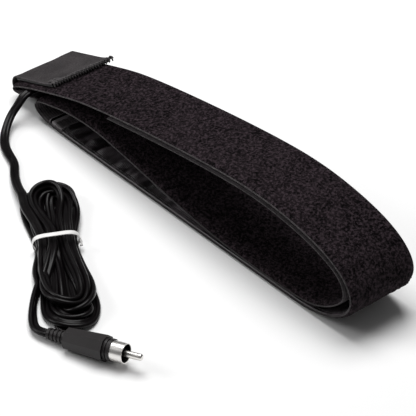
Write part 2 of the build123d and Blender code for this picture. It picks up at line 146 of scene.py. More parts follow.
world = bpy.data.worlds.new("room")
scene.world = world
world.use_nodes = True
world.node_tree.nodes["Background"].inputs["Color"].default_value = (1, 1, 1, 1)
world.node_tree.nodes["Background"].inputs["Strength"].default_value = 0.12

for name, place, aim, size, power in (
        ("overhead", (-0.30, 0.15, 1.3), (0.0, -0.02, 0.0), 1.0, 21.5),
        ("left_side", (-0.9, -0.9, 0.75), (0.0, -0.02, 0.02), 0.6, 7.0)):
    lamp = bpy.data.objects.new(name, bpy.data.lights.new(name, "AREA"))
    scene.collection.objects.link(lamp)
    lamp.data.size = size
    lamp.data.energy = power
    lamp.location = place
    lamp.rotation_mode = "QUATERNION"
    lamp.rotation_quaternion = (Vector(aim) - Vector(place)).to_track_quat("-Z", "Y")

# ---- Flat twin lead ------------------------------------------------------------------------------------
# Two stranded cores in soft black PVC, moulded side by side with a groove between them. It leaves the
# band's front edge, drops to the table, is wound into a hank of long turns, and ends in the plug.

MM = 0.001
lead_points = [
    (-107.28, -20.25, 13.3), (-107.28, -23.4, 13.3), (-106.4, -27.4, 10.4), (-105.6, -33.9, 5.6),
    (-99.6, -41.8, 2.3), (-92.2, -47.5, 1.75), (-83.6, -50.7, 1.75), (-77.0, -52.6, 1.75),
    (-68.6, -59.1, 1.9), (-57.4, -65.4, 3.8), (-43.0, -70.6, 6.8),
]
tail_points = [
    (5.0, -100.0, 2.5), (10.1, -106.3, 2.45), (15.7, -111.9, 2.45), (22.1, -117.2, 2.4),
    (28.1, -121.2, 2.4), (33.41, -122.85, 3.27), (38.5, -120.83, 3.81),
]
# Each turn of the hank: its lane down through the tie, the loop below (left, right, end, height), its
# lane back up, and the loop above (right, left, end, height). Across, along and up, in millimetres.
turns = [
    ((-6.8, 7.8), (-9.0, 6.2, 90.5, 7.6), (1.4, 8.8), (4.6, -9.0, 5.4, 6.6)),
    ((-3.0, 8.8), (-8.4, 8.4, 94.0, 6.2), (4.4, 6.4), (6.0, -6.4, 7.6, 5.0)),
    ((-3.6, 6.2), (-1.0, 9.2, 97.5, 5.0), (5.7, 4.0), (7.4, 0.6, 5.6, 4.4)),
    ((-4.1, 3.9), (-5.4, 9.0, 101.0, 3.8), (0.8, 3.9), (7.8, -9.2, 3.4, 3.8)),
    ((-8.8, 3.9), (-9.6, 9.4, 105.5, 2.8), (5.6, 1.5), (1.8, -9.8, 4.0, 2.4)),
    ((-4.1, 1.5), (-5.4, 2.6, 108.0, 1.4), (0.8, 1.5), (8.0, -10.2, 3.0, 1.5)),
]
last_lane = (-9.0, 1.5)
hank_start = Vector((-50.0, -52.0, 0.0))
hank_along = Vector((97.0, -61.0, 0.0)).normalized()
hank_across = Vector((-hank_along.y, hank_along.x, 0.0))


def hank_spot(along, across, up):
    spot = hank_start + hank_along * along + hank_across * across
    return (spot.x, spot.y, up)


# Control points with the lead's lean: 0 lies flat, 90 stands on edge, and minus lifts its inner edge.
route = [(*p, lean) for p, lean in zip(lead_points, (0, 0, 10, 25, 10, 0, -10, -25, -5, 5, 10))]
route.append((*hank_spot(29.6, -9.8, 8.9), 5))
for number, (lane, low, back, top) in enumerate(turns):
    left, right, end, height = low
    middle = (left + right) / 2
    half = (right - left) / 2
    lean = -50 + 4 * number
    route += [(*hank_spot(along, across, up), angle) for along, across, up, angle in (
        (38, *lane, 0), (45, *lane, 0), (53, *lane, -5),
        (64, lane[0] * 0.4 + left * 0.6, lane[1] * 0.35 + height * 0.65, -25),
        (end - 1.6 * half, left, height, lean), (end - 0.6 * half, left + 0.1 * half, height, lean * 0.8),
        (end - 0.1 * half, middle - 0.6 * half, height, -42), (end + 0.1 * half, middle, height, -40),
        (end + 1.8, middle + 0.6 * half, height, -42), (end - 0.5 * half + 1.5, right - 0.1 * half, height, lean * 0.8),
        (end - 1.6 * half, right, height, lean),
        (66, back[0] * 0.5 + right * 0.5, back[1] * 0.4 + height * 0.6, -30),
        (53, *back, -8), (45, *back, 0), (38, *back, 0))]
    right, left, end, height = top
    middle = (left + right) / 2
    half = (right - left) / 2
    forward = (turns[number + 1][0] if number + 1 < len(turns) else last_lane)
    route += [(*hank_spot(along, across, up), angle) for along, across, up, angle in (
        (29, back[0] * 0.3 + right * 0.7, back[1] * 0.2 + height * 0.8, -25),
        (end + 1.3 * half, right, height, -48), (end + 0.5 * half, right - 0.08 * half, height, -40),
        (end - 0.06 * half, middle + 0.6 * half, height, -38), (end - 0.1 * half, middle, height, -36),
        (end - 0.06 * half, middle - 0.6 * half, height, -38), (end + 0.5 * half, left + 0.08 * half, height, -40),
        (end + 1.3 * half, left, height, -48),
        (29, forward[0] * 0.3 + left * 0.7, forward[1] * 0.2 + height * 0.8, -25))]
route += [(*hank_spot(38, *last_lane), 0), (*hank_spot(46, *last_lane), 0), (*hank_spot(60, -10.2, 1.9), -35)]
route += [(*p, lean) for p, lean in zip(tail_points, (-60, -72, -72, -60, -35, -12, 0))]

line = bpy.data.curves.new("lead_line", "CURVE")
line.dimensions = "3D"
line.resolution_u = 8
spline = line.splines.new("NURBS")
spline.points.add(len(route) - 1)
for point, (x, y, z, lean) in zip(spline.points, route):
    point.co = (x * MM, y * MM, z * MM, 1)
spline.order_u = 3
spline.use_endpoint_u = True
line_object = bpy.data.objects.new("lead_line", line)
scene.collection.objects.link(line_object)
line_mesh = bpy.data.meshes.new_from_object(line_object)
drawn = np.array([v.co for v in line_mesh.vertices], float) / MM
bpy.data.objects.remove(line_object)
drawn_leans = np.interp(np.linspace(0, len(route) - 1, len(drawn)), range(len(route)), [p[3] for p in route])


def directions(centres, leans):
    """Each place's own wide and thick direction, square to the line, the wide one leaning by leans."""
    along = np.gradient(centres, axis=0)
    along /= np.linalg.norm(along, axis=1)[:, None]
    level = np.cross([0.0, 0.0, 1.0], along)
    level /= np.linalg.norm(level, axis=1)[:, None]
    upright = np.cross(along, level)
    turn = np.radians(leans)[:, None]
    return level * np.cos(turn) + upright * np.sin(turn), upright * np.cos(turn) - level * np.sin(turn)


# The drawn line is walked in short steps, with one bead for each core. The beads then push each other
# apart, stay above the table and inside the tie, and keep their spacing, so the turns settle on each other.
bead_step = 2.4
core_width = 2.44  # beads of different turns stay this far apart
lobe = 1.2  # from the lead's middle to each core's, and the radius of a core's jacket
fixed_start, fixed_end = 84, 40  # lengths at the lead's two ends that stay as drawn
settling_sweeps, firm_sweeps = 420, 240
tie_along, tie_reach = 46.5, 7.0
tie_left, tie_right, tie_middle = -10.5, 7.5, -1.5
table_rest = 1.25  # height of a core's middle when it lies on the table
travelled = np.concatenate([[0], np.cumsum(np.linalg.norm(np.diff(drawn, axis=0), axis=1))])
steps = np.linspace(0, travelled[-1], int(travelled[-1] / bead_step) + 1)
walked = np.stack([np.interp(steps, travelled, drawn[:, k]) for k in range(3)], axis=1)
walked_wide = directions(walked, np.interp(steps, travelled, drawn_leans))[0]
beads = np.concatenate([walked + walked_wide * lobe, walked - walked_wide * lobe])
beads_drawn = beads.copy()
count = len(walked)
gap = steps[1]
number = np.tile(np.arange(count), 2)
upper = np.triu(np.abs(number[:, None] - number[None, :]) > 3, 1)
held = np.ones(2 * count)
held[(number * gap < fixed_start) | (number * gap > travelled[-1] - fixed_end)] = 0.0
along_axis, across_axis = np.array(hank_along, float), np.array(hank_across, float)
hank_zero = np.array(hank_start, float)
for sweep in range(settling_sweeps):
    pull = 0.010 if sweep < firm_sweeps else 0.003
    beads += (beads_drawn - beads) * pull * held[:, None]
    beads[:, 2] -= 0.02 * held
    if sweep % 6 == 0:
        gaps = beads[:, None, :] - beads[None, :, :]
        near_one, near_two = np.nonzero(upper & ((gaps ** 2).sum(axis=2) < 14.0))
    away = beads[near_one] - beads[near_two]
    size = np.linalg.norm(away, axis=1)
    close = size < core_width
    one, two, away, size = near_one[close], near_two[close], away[close], size[close]
    away = away / np.maximum(size, 0.05)[:, None] * ((core_width - size) * 0.4)[:, None]
    moves = np.zeros_like(beads)
    hits = np.ones(2 * count)
    np.add.at(moves, one, away)
    np.add.at(moves, two, -away)
    np.add.at(hits, one, 0.3)
    np.add.at(hits, two, 0.3)
    beads += moves / hits[:, None] * held[:, None]
    right_beads, left_beads = beads[:count], beads[count:]
    middle = (right_beads + left_beads) / 2
    half = (right_beads - left_beads) / 2
    weight = held[:count, None]
    for odd in (0, 1):
        span = middle[odd + 1::2] - middle[odd:-1:2]
        size = np.linalg.norm(span, axis=1)
        push = span * (np.clip(size - gap, -0.5, 0.5) / size * 0.4)[:, None]
        middle[odd:-1:2] += push * weight[odd:-1:2]
        middle[odd + 1::2] -= push * weight[odd + 1::2]
    for _ in range(3):
        bend = np.zeros_like(middle)
        bend[1:-1] = (middle[2:] + middle[:-2]) / 2 - middle[1:-1]
        bend[1:-1] -= (bend[2:] + bend[:-2]) / 2
        middle[2:-2] += bend[2:-2] * 0.2 * weight[2:-2]
    for _ in range(2):
        half[1:-1] = half[1:-1] * 0.5 + (half[2:] + half[:-2]) * 0.25
    along = np.gradient(middle, axis=0)
    along /= np.linalg.norm(along, axis=1)[:, None]
    half -= along * (half * along).sum(axis=1)[:, None]
    half *= (lobe / np.linalg.norm(half, axis=1))[:, None]
    moved = np.concatenate([middle + half, middle - half])
    beads = np.where(held[:, None] > 0, moved, beads)
    place_along = (beads - hank_zero) @ along_axis
    place_across = (beads - hank_zero) @ across_axis
    near_tie = np.clip(1 - np.abs(place_along - tie_along) / tie_reach, 0, 1) * held
    side = np.clip(place_across, tie_left, tie_right) - place_across
    beads += across_axis[None, :] * (side * near_tie)[:, None]
    top = np.interp(np.abs(place_across - tie_middle), [0, 4, 7, 9], [9.9, 9.0, 7.2, 5.0])
    beads[:, 2] += np.minimum(top - beads[:, 2], 0) * near_tie
    beads[:, 2] = np.where(held > 0, np.maximum(beads[:, 2], table_rest), beads[:, 2])


def finer(line):
    """Puts a place half way between each two, on the smooth curve through them."""
    padded = np.concatenate([[2 * line[0] - line[1]], line, [2 * line[-1] - line[-2]]])
    between = (9 * (padded[1:-2] + padded[2:-1]) - padded[:-3] - padded[3:]) / 16
    made = np.empty((2 * len(line) - 1, 3))
    made[::2] = line
    made[1::2] = between
    return made


fine_right, fine_left = finer(beads[:count]), finer(beads[count:])
lead_line = (fine_right + fine_left) / 2 * MM
lead_wide = fine_right - fine_left
lead_along = np.gradient(lead_line, axis=0)
lead_along /= np.linalg.norm(lead_along, axis=1)[:, None]
lead_wide -= lead_along * (lead_wide * lead_along).sum(axis=1)[:, None]
lead_wide /= np.linalg.norm(lead_wide, axis=1)[:, None]
lead_thick = np.cross(lead_along, lead_wide)


def add_piece(name, spots, faces, finish):
    """A mesh object made of places in metres and faces that index them."""
    mesh = bpy.data.meshes.new(name)
    mesh.from_pydata([tuple(s) for s in spots], [], [tuple(f) for f in faces])
    mesh.materials.append(finish)
    mesh.polygons.foreach_set("use_smooth", [True] * len(mesh.polygons))
    mesh.update()
    piece = bpy.data.objects.new(name, mesh)
    scene.collection.objects.link(piece)
    return piece


def swept(centres, wides, thicks, ring, closed=False):
    """Places and faces of a ring carried along centres; wides and thicks are its own two directions."""
    count, sides = len(centres), len(ring)
    spots = (centres[:, None, :] + wides[:, None, :] * ring[None, :, 0, None]
             + thicks[:, None, :] * ring[None, :, 1, None]).reshape(-1, 3)
    faces = []
    for i in range(count if closed else count - 1):
        k = (i + 1) % count
        for j in range(sides):
            m = (j + 1) % sides
            faces.append((i * sides + j, i * sides + m, k * sides + m, k * sides + j))
    if not closed:
        faces.append(tuple(reversed(range(sides))))
        faces.append(tuple((count - 1) * sides + j for j in range(sides)))
    return spots, faces


angles = np.radians(np.linspace(-150, 150, 9))
right_lobe = np.stack([lobe + lobe * np.cos(angles), lobe * np.sin(angles)], axis=1) * MM
twin_ring = np.concatenate([right_lobe, -right_lobe])
spots, faces = swept(lead_line, lead_wide, lead_thick, twin_ring)

jacket, shader, spot = new_finish("lead_pvc", {"Specular IOR Level": 0.16})
spot.noise(0.012, 2.0).blend((0.0016, 0.0010, 0.0013, 1), (0.0036, 0.0026, 0.0031, 1)).feed(shader, "Base Color")
(spot.noise(0.006, 2.0) * 0.12 + 0.24).feed(shader, "Roughness")
spot.noise(0.0022, 4.0).bump(0.00006, 0.6).feed(shader, "Normal")
lead = add_piece("twin_lead", spots, faces, jacket)
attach(lead, "strap")
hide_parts("cord_lead", "cord_hank", "cord_tail")

# ---- Tie round the hank ----------------------------------------------------------------------------------
# A flat white strip of soft plastic, thicker along its middle, wrapped once round the waist of the hank. Its
# ends are twisted together and bent down beside the turns.

loop_steps = 48
loop_half_width, loop_half_height, loop_middle = 10.75, 5.35, 5.75
tie_centres = []
for step in range(loop_steps):
    angle = math.radians(step * 360 / loop_steps)
    squareness = 0.85 if step < loop_steps / 2 else 0.5
    across = loop_half_width * math.copysign(abs(math.cos(angle)) ** 0.72, math.cos(angle))
    up = loop_half_height * math.copysign(abs(math.sin(angle)) ** squareness, math.sin(angle))
    along = 46.6 + 1.6 * math.sin(math.radians(8 * (8 - across))) + 0.8 * math.sin(angle)
    tie_centres.append(hank_spot(along, across + tie_middle, up + loop_middle))
tie_centres = np.array(tie_centres) * MM
tie_run = np.roll(tie_centres, -1, axis=0) - np.roll(tie_centres, 1, axis=0)
tie_run /= np.linalg.norm(tie_run, axis=1)[:, None]
tie_wide = np.tile(np.array(hank_along, float), (len(tie_centres), 1))
tie_thick = np.cross(tie_run, tie_wide)
tie_thick /= np.linalg.norm(tie_thick, axis=1)[:, None]
tie_wide = np.cross(tie_thick, tie_run)
tie_ring = np.array([(-1.35, -0.12), (-1.2, -0.2), (-0.4, -0.2), (0, -0.3), (0.4, -0.2), (1.2, -0.2), (1.35, -0.12),
                     (1.35, 0.12), (1.2, 0.2), (0.4, 0.2), (0, 0.38), (-0.4, 0.2), (-1.2, 0.2), (-1.35, 0.12)]) * MM
spots, faces = swept(tie_centres, tie_wide, tie_thick, tie_ring, closed=True)
white, shader, spot = new_finish("white_tie", {"Roughness": 0.45})
spot.noise(0.003, 2.0).spread(0.3, 0.7).blend((0.70, 0.69, 0.68, 1), (0.82, 0.81, 0.80, 1)).feed(shader, "Base Color")
spot.noise(0.001, 3.0).bump(0.00008, 0.5).feed(shader, "Normal")
tie = add_piece("hank_tie", spots, faces, white)
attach(tie, "strap")
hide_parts("lead_tie")

twist_steps = 10
twist_centres = np.array([hank_spot(45.6 + 0.40 * k, 9.6 + 0.4 * math.sin(k / 4), 5.6 - 0.26 * k)
                          for k in range(twist_steps)]) * MM
twist_wide, twist_thick = directions(twist_centres, np.linspace(0, 400, twist_steps))
spots, faces = swept(twist_centres, twist_wide, twist_thick,
                     np.array([(-0.7, -0.25), (0.7, -0.25), (0.7, 0.25), (-0.7, 0.25)]) * MM)
twist = add_piece("tie_twist", spots, faces, white)
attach(twist, "strap")

# ---- Band of loop-pile tape --------------------------------------------------------------------------------
# Knitted nylon tape, 38 mm wide, with a dense brushed loop pile on one face, a plain back and a narrow
# woven edge. It lies folded: top run, outer bend, run on the table, left bend, a loose ply and a tucked ply.

top_run = [(-122.4, 9.6), (-81.0, 23.8), (-60.0, 29.5), (-15.0, 37.1), (30.0, 43.1), (62.0, 45.4)]
outer_bend = [(90.0, 42.7), (112.0, 36.8), (124.3, 27.0), (124.0, 15.6), (112.6, 6.4), (99.5, 2.6)]
table_run = [(86.0, 1.8), (40.0, 1.8), (-40.0, 1.8), (-88.5, 1.8)]
left_bend = [(-98.5, 3.7), (-103.6, 6.8), (-101.6, 10.5), (-92.0, 13.0)]
loose_ply = [(-78.0, 16.2), (-58.0, 17.5), (-38.0, 15.1), (10.0, 7.0), (45.0, 3.6), (88.0, 3.5)]
inner_bend = [(103.5, 6.2), (116.4, 14.4), (121.6, 22.2), (117.4, 31.2), (104.0, 37.1), (88.0, 40.8)]
tucked_ply = [(62.0, 43.5), (30.0, 41.2), (-15.0, 35.2), (-46.0, 30.1)]
tape_front, tape_rear = -20.25, 17.85
pocket_gap, pocket_length = 3.8, 17.6
seam_step = 0.75

tab_corner = np.array(top_run[0])
run_direction = np.array(top_run[1]) - tab_corner
run_direction /= np.hypot(*run_direction)
run_normal = np.array([-run_direction[1], run_direction[0]])
fold_corner = tab_corner + run_direction * 0.9
under_corner = fold_corner - run_normal * pocket_gap
under_start = under_corner + run_direction * pocket_length
top_run[0] = tuple(fold_corner)


def seam_line(points):
    """Evenly spaced (x, z) places along the smooth line that the corners pull on, in millimetres."""
    curve = bpy.data.curves.new("seam", "CURVE")
    curve.dimensions = "3D"
    curve.resolution_u = 16
    spline = curve.splines.new("NURBS")
    spline.points.add(len(points) - 1)
    for point, (x, z) in zip(spline.points, points):
        point.co = (x * MM, 0, z * MM, 1)
    spline.order_u = 3
    spline.use_endpoint_u = True
    holder = bpy.data.objects.new("seam", curve)
    scene.collection.objects.link(holder)
    mesh = bpy.data.meshes.new_from_object(holder)
    line = np.array([(v.co.x, v.co.z) for v in mesh.vertices]) / MM
    bpy.data.objects.remove(holder)
    lengths = np.concatenate([[0], np.cumsum(np.hypot(*np.diff(line, axis=0).T))])
    even = np.linspace(0, lengths[-1], int(lengths[-1] / seam_step) + 1)
    return np.stack([np.interp(even, lengths, line[:, 0]), np.interp(even, lengths, line[:, 1])], axis=1)


def left_normals(line):
    """Directions square to a line of (x, z) places, on its left."""
    along = np.gradient(line, axis=0)
    along /= np.hypot(along[:, 0], along[:, 1])[:, None]
    return np.stack([-along[:, 1], along[:, 0]], axis=1)


band_route = [tuple(under_start), tuple(under_corner + run_direction * 0.1)] + top_run + outer_bend + table_run
band_route += left_bend + loose_ply + inner_bend + tucked_ply
seam = seam_line(band_route)
seam_normals = left_normals(seam)


def strip_mesh(line, normals, across, low, high, extra_low=None, extra_high=None):
    """Closed strip of cloth. across lists its Y places; low and high are its two faces' heights above the
    line at each of them, and the extras add a height at every place along and across."""
    rows, columns = len(line), len(across)
    low = np.tile(low, (rows, 1)) + (0 if extra_low is None else extra_low)
    high = np.tile(high, (rows, 1)) + (0 if extra_high is None else extra_high)
    faces_of = []
    for heights in (high, low):
        x = line[:, 0, None] + normals[:, 0, None] * heights
        z = line[:, 1, None] + normals[:, 1, None] * heights
        y = np.tile(across, (rows, 1))
        faces_of.append(np.stack([x, y, z], axis=2).reshape(-1, 3))
    spots = np.concatenate(faces_of) * MM
    base = rows * columns
    faces = []
    for i in range(rows - 1):
        for j in range(columns - 1):
            a = i * columns + j
            b = a + columns
            faces.append((a, b, b + 1, a + 1))
            faces.append((base + a, base + a + 1, base + b + 1, base + b))
        for j in (0, columns - 1):
            a = i * columns + j
            quad = (a, base + a, base + a + columns, a + columns)
            faces.append(quad if j == 0 else quad[::-1])
    for i in (0, rows - 1):
        for j in range(columns - 1):
            a = i * columns + j
            quad = (a, a + 1, base + a + 1, base + a)
            faces.append(quad if i == 0 else quad[::-1])
    return spots, faces


def soft_noise(rng, rows, columns, along, across):
    """Smooth random field, about one unit high, with lumps of the given size in cells."""
    coarse = rng.normal(size=(int(rows / along) + 3, int(columns / across) + 3))
    i = np.linspace(0, coarse.shape[0] - 1.001, rows)
    j = np.linspace(0, coarse.shape[1] - 1.001, columns)
    i0, j0 = i.astype(int), j.astype(int)
    fi, fj = (i - i0)[:, None], (j - j0)[None, :]
    fi, fj = fi * fi * (3 - 2 * fi), fj * fj * (3 - 2 * fj)
    return ((coarse[i0][:, j0] * (1 - fi) + coarse[i0 + 1][:, j0] * fi) * (1 - fj)
            + (coarse[i0][:, j0 + 1] * (1 - fi) + coarse[i0 + 1][:, j0 + 1] * fi) * fj)


rng = np.random.default_rng(11)
pile_inset = 0.9
across = np.concatenate([[tape_front, tape_front + 0.35, tape_front + 0.8],
                         np.linspace(tape_front + pile_inset + 0.15, tape_rear - pile_inset - 0.15, 47),
                         [tape_rear - 0.8, tape_rear - 0.35, tape_rear]])
edge = np.minimum(across - tape_front, tape_rear - across)
pile_height = np.interp(edge, [0, 0.35, 0.8, 1.1, 1.9, 3.5], [0.62, 0.78, 0.8, 1.15, 1.62, 1.8])
back_height = np.interp(edge, [0, 0.35, 0.8], [0.2, 0.05, 0.0])
rows, columns = len(seam), len(across)
pile_mask = np.clip((edge - 0.85) / 0.6, 0, 1)
tufts = rng.normal(size=(rows, columns)) * 0.13 + soft_noise(rng, rows, columns, 2.2, 2.2) * 0.10
lie = soft_noise(rng, rows, columns, 9, 7) * 0.10
spots, faces = strip_mesh(seam, seam_normals, across, back_height, pile_height,
                          extra_high=np.clip(tufts + lie, -0.4, 0.32) * pile_mask)

pile, shader, spot = new_finish("loop_pile", {"Roughness": 0.95, "Specular IOR Level": 0.08})
specks = spot.noise(0.0013, 2.5, 0.65).spread(0.41, 0.59)
clumps = spot.noise(0.0045, 2.0, 0.6).spread(0.36, 0.64)
patches = spot.noise(0.03, 2.0).spread(0.3, 0.7)
tone = specks * 0.8 + clumps * 0.3 - patches * 0.12
tone.blend((0.0008, 0.0004, 0.0006, 1), (0.036, 0.026, 0.031, 1)).feed(shader, "Base Color")
(specks * 0.7 + clumps * 0.3).bump(0.0009, 1.0).feed(shader, "Normal")

knit, shader, spot = new_finish("tape_back", {"Roughness": 0.85, "Specular IOR Level": 0.15})
rib = spot.bands("Y", 0.0042, 1.0)
flecks = spot.noise(0.0014, 4.0, 0.6).spread(0.3, 0.7)
(flecks * 0.6 + rib * 0.4).blend((0.018, 0.0155, 0.017, 1), (0.13, 0.118, 0.123, 1)).feed(shader, "Base Color")
(rib * 0.5 + flecks * 0.5).bump(0.0002, 0.7).feed(shader, "Normal")

selvedge, shader, spot = new_finish("tape_edge", {"Roughness": 0.75, "Specular IOR Level": 0.2})
threads = spot.noise(0.0009, 3.0, 0.6).spread(0.25, 0.75)
# Painted shade: below 14 mm up, the edge's colour is darkened towards the table, to a quarter at 1 mm, as the shade
# next to the table.
height = spot.node("ShaderNodeSeparateXYZ", None, {"Vector": spot}, output="Z")
threads_table_shaded = threads * height.spread(0.001, 0.014, 0.25, 1.0)
threads_table_shaded.blend((0.006, 0.005, 0.0055, 1), (0.08, 0.072, 0.075, 1)).feed(shader, "Base Color")
threads.bump(0.00025, 0.8).feed(shader, "Normal")

spots[:, 2] = np.maximum(spots[:, 2], 0.0)  # the pile is pressed flat on the table
band = add_piece("loop_pile_band", spots, faces, pile)
band.data.materials.append(knit)
band.data.materials.append(selvedge)
centres = np.zeros(len(band.data.polygons) * 3)
band.data.polygons.foreach_get("center", centres)
centres = centres.reshape(-1, 3)[:, 1] / MM
from_edge = np.minimum(centres - tape_front, tape_rear - centres)
starts = np.zeros(len(band.data.polygons), int)
band.data.polygons.foreach_get("loop_start", starts)
corner = np.zeros(len(band.data.loops), int)
band.data.loops.foreach_get("vertex_index", corner)
on_back = corner[starts] >= rows * columns
kind = np.where(from_edge < 0.5, 2, np.where(on_back, 1, 0))
band.data.polygons.foreach_set("material_index", kind.astype(np.int32))
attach(band, "strap")
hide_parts("loop_tape")

# ---- Heater cover ------------------------------------------------------------------------------------------
# A pocket of thin black lining nylon, sewn along both edges to the back of the tape. It holds the heating
# wire, and puckers between the seams wherever it is on the inside of a bend.


def nearest(x, z, first=0):
    """Which place of the seam is nearest, counting from first on."""
    gaps = np.hypot(seam[first:, 0] - x, seam[first:, 1] - z)
    return first + int(np.argmin(gaps))


cover_start, cover_end = 20.5, -83
cover_first = nearest(*(tab_corner + run_direction * cover_start), nearest(*fold_corner))
table_first = nearest(*table_run[0])
cover_last = nearest(cover_end, table_run[0][1], table_first)
cover_half = 18.3
tape_middle = (tape_front + tape_rear) / 2
lining_across = tape_middle + np.concatenate([[-cover_half, -18.0, -17.4], np.linspace(-16.6, 16.6, 31),
                                              [17.4, 18.0, cover_half]])
lining_edge = np.minimum(lining_across - tape_middle + cover_half, cover_half - lining_across + tape_middle)
lining_seam = seam[cover_first:cover_last + 1]
lining_normals = seam_normals[cover_first:cover_last + 1]
rows_lining, columns_lining = len(lining_seam), len(lining_across)
full = np.interp(lining_edge, [0, 0.3, 0.9, 1.7, 2.6, 5.0], [-0.15, -0.3, -0.45, -0.5, -0.95, -1.3])
position = np.arange(rows_lining) * seam_step
on_table = np.arange(rows_lining) > table_first - cover_first
room = np.where(on_table, np.interp(lining_seam[:, 0], [-90, -70, -10, 25, 45], [0.9, 1.0, 0.8, 0.25, 0.0]), 0.0)
room = np.where(~on_table & (lining_seam[:, 0] < -52), 0.5, room)
slant = position[:, None] + (lining_across - tape_middle)[None, :] * 0.30
waves = (np.sin(slant / 1.05 + 1.8 * np.sin(slant / 9.0)) * 0.7
         + np.sin(slant / 1.9 + 2.0 + 0.20 * (lining_across - tape_middle)[None, :]) * 0.7)
waves = waves + soft_noise(rng, rows_lining, columns_lining, 12, 5) * 0.8
ease = np.clip((lining_edge - 1.6) / 3.5, 0, 1)[None, :]
pucker = np.clip(waves, -0.8, 1.5) * room[:, None] * ease * 0.95
spots, faces = strip_mesh(lining_seam, lining_normals, lining_across, full, np.full(columns_lining, -0.04),
                          extra_low=-np.clip(pucker, -0.5, 1.15))
nylon, shader, spot = new_finish("lining_nylon", {"Specular IOR Level": 0.5})
weave = spot.bands("X", 0.0022, 0.4)
weft = spot.bands("Y", 0.0022, 0.4)
# Painted sheen and shade: light and dark streaks, stretched along the wrinkles, stand in for their highlights and dark
# folds; the same streaks also vary the roughness.
stretched = spot.node("ShaderNodeMapping", None,
                      {"Vector": spot, "Rotation": (0.0, 0.0, 0.23), "Scale": (1.0, 0.3, 1.0)})
sheen_streaks = stretched.noise(0.0065, 2.0).spread(0.36, 0.64)
sheen_streaks.blend((0.0022, 0.0012, 0.0018, 1), (0.062, 0.052, 0.058, 1)).feed(shader, "Base Color")
(sheen_streaks * 0.15 + 0.28).feed(shader, "Roughness")
(weave * weft + spot.noise(0.0028, 3.0) * 0.8).bump(0.00012, 0.8).feed(shader, "Normal")
lining = add_piece("heater_lining", spots, faces, nylon)
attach(lining, "strap")
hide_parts("heater_cover")

# ---- Rows of stitches ----------------------------------------------------------------------------------------
# Black polyester lockstitch, about ten to the inch, one row along each edge of the cover. One stitch is
# shaped and then set at every place, here and on the strip and the tab.

thread, shader, spot = new_finish("sewing_thread", {"Roughness": 0.6, "Specular IOR Level": 0.3})
strands = spot.noise(0.0006, 2.0).spread(0.3, 0.7)
strands.blend((0.010, 0.009, 0.0095, 1), (0.05, 0.046, 0.048, 1)).feed(shader, "Base Color")
spot.noise(0.0003, 2.0).bump(0.00006, 0.6).feed(shader, "Normal")


def start_solid(add, **settings):
    """Adds a primitive to shape on its own, in edit mode with nothing selected."""
    bpy.ops.object.select_all(action="DESELECT")
    add(**settings)
    bpy.ops.object.transform_apply(location=True, rotation=True, scale=True)
    bpy.ops.object.mode_set(mode="EDIT")
    bpy.ops.mesh.select_all(action="DESELECT")
    return bpy.context.object


def choose(solid, wanted):
    """Selects the faces of a solid in edit mode whose middle and normal pass the test."""
    bpy.ops.mesh.select_all(action="DESELECT")
    mesh = bmesh.from_edit_mesh(solid.data)
    mesh.select_mode = {"FACE"}
    for face in mesh.faces:
        if wanted(face.calc_center_median(), face.normal):
            face.select_set(True)
    mesh.select_flush(True)
    bmesh.update_edit_mesh(solid.data)


def sew(model, name, places, finish):
    """One piece of many copies of a model, each with its own mesh and put at its own matrix."""
    bpy.ops.object.select_all(action="DESELECT")
    for place in places:
        copy = model.copy()
        copy.data = model.data.copy()
        scene.collection.objects.link(copy)
        copy.matrix_world = place
        copy.select_set(True)
    bpy.context.view_layer.objects.active = copy
    bpy.ops.object.transform_apply(location=True, rotation=True, scale=True)
    bpy.ops.object.join()
    piece = bpy.context.object
    piece.name = piece.data.name = name
    piece.data.materials.clear()
    piece.data.materials.append(finish)
    piece.data.polygons.foreach_set("use_smooth", [True] * len(piece.data.polygons))
    return piece


def stitch_places(places, alongs, ups, length, width=0.42, height=0.22):
    """The matrix of each stitch: its middle, which way it runs, which way it bulges, and its size."""
    matrices = []
    for place, along, up in zip(places, alongs, ups):
        along = Vector(along).normalized()
        across = Vector(up).cross(along).normalized()
        turned = Matrix((along, across, along.cross(across))).transposed().to_4x4()
        size = Matrix.Diagonal((length * MM, width * MM, 2 * height * MM, 1))
        matrices.append(Matrix.Translation(Vector(place) * MM) @ turned @ size)
    return matrices


# One stitch, a unit long: a six-sided bar with rounded ends that dip into the cloth and a fuller middle.
stitch = start_solid(bpy.ops.mesh.primitive_cylinder_add, vertices=6, radius=0.5, depth=1,
                     rotation=(0, math.radians(90), 0))
choose(stitch, lambda middle, normal: abs(normal.x) > 0.9)
bpy.ops.mesh.bevel(offset=0.18, offset_type="OFFSET", segments=1, affect="EDGES")
bpy.ops.mesh.select_all(action="SELECT")
bpy.ops.mesh.bisect(plane_co=(0, 0, 0), plane_no=(1, 0, 0))
bpy.ops.transform.resize(value=(1, 1.1, 1.1))
choose(stitch, lambda middle, normal: abs(middle.x) > 0.49)
bpy.ops.transform.translate(value=(0, 0, -0.28))
bpy.ops.mesh.select_all(action="SELECT")
bpy.ops.transform.translate(value=(0, 0, 0.22))
bpy.ops.object.mode_set(mode="OBJECT")

edge_inset = 1.6
places, alongs, ups = [], [], []
for side in (-1, 1):
    for i in range(2, rows_lining - 2, 4):
        x, z = lining_seam[i] - lining_normals[i] * 0.55
        along = lining_seam[i + 1] - lining_seam[i - 1]
        places.append((x, tape_middle + side * (cover_half - edge_inset), z))
        alongs.append((along[0], 0, along[1]))
        ups.append((-lining_normals[i][0], 0, -lining_normals[i][1]))
edge_rows = sew(stitch, "edge_rows", stitch_places(places, alongs, ups, 2.4), thread)
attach(edge_rows, "strap")
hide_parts("edge_stitching")

# ---- Strip over the cover's far end ---------------------------------------------------------------------------
# A ten millimetre strip of smooth dark grey nylon, folded over the raw end of the cover and sewn across
# with five close rows, which draw it in to ribs. A dark gap shows under the fold at its left edge; its faces
# and the grooves between the ribs are painted near black as shade.

hem_first, hem_last = cover_last, nearest(-93.4, 2.4, table_first)


